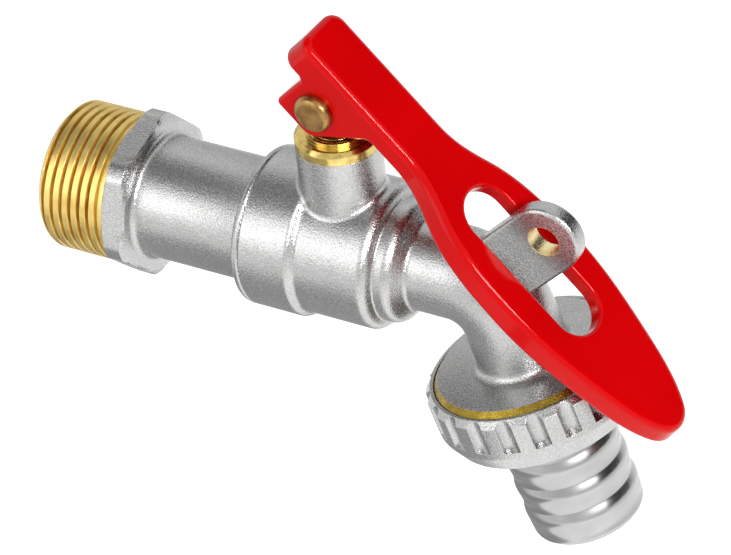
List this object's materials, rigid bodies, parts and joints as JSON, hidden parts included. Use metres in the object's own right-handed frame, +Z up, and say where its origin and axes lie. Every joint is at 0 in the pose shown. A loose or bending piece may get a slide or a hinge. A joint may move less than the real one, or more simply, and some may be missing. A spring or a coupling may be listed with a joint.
{
  "type": "lockable hose tap",
  "caption": "Ball valve hose tap with a threaded inlet, bent spout, barbed hose union and a red lever slotted to drop over a padlock lug.",
  "frame": {"origin": "on the inlet axis, at the shoulder where the inlet thread ends against the hexagon", "axes": "+X along the inlet axis towards the spout, +Z up along the stem, +Y to the left of the flow"},
  "size_m": [0.1168, 0.0368, 0.094],
  "materials": {
    "matt_nickel": "blasted nickel plate over brass, bare brass at the threads",
    "bright_nickel": "bright nickel plate over brass",
    "polished_brass": "turned brass",
    "dull_brass": "dull rivet brass",
    "red_paint": "gloss red paint",
    "chromed_ball": "polished chrome plate over brass",
    "ptfe": "white PTFE",
    "black_rubber": "flat rubber washer"
  },
  "bodies": {
    "root": {"inlet_connector": "matt_nickel", "valve_body": "matt_nickel", "padlock_lug": "matt_nickel", "upstream_seat": "ptfe", "downstream_seat": "ptfe", "thrust_washer": "ptfe", "stem_packing": "ptfe", "gland_nut": "polished_brass"},
    "stem": {"stem": "polished_brass", "ball": "chromed_ball"},
    "lever": {"lever": "red_paint", "lever_pin": "dull_brass"},
    "tail": {"hose_tail": "bright_nickel", "hose_washer": "black_rubber"},
    "nut": {"hose_nut": "matt_nickel"}
  },
  "joints": [
    {"name": "stem_turn", "type": "hinge", "parent": "root", "child": "stem", "pos_m": [0.0413, 0, 0], "axis": [0, 0, 1], "range_deg": [0, 7.4]},
    {"name": "lever_lift", "type": "hinge", "parent": "stem", "child": "lever", "pos_m": [0.0413, 0, 0.03128], "axis": [-0.0645, -0.9979, 0], "range_deg": [0, 48]},
    {"name": "tail_slide", "type": "slide", "parent": "root", "child": "tail", "axis": [0.299, 0, -0.9542], "range_m": [0, 0.00346]},
    {"name": "nut_turn", "type": "hinge", "parent": "tail", "child": "nut", "pos_m": [0.07299, 0, -0.01431], "axis": [0.299, 0, -0.9542], "range_deg": [0, 540]}
  ],
  "couplings": [
    {"joint": "nut_turn", "follows": "tail_slide", "rad_per_m": 2721.2}
  ]
}
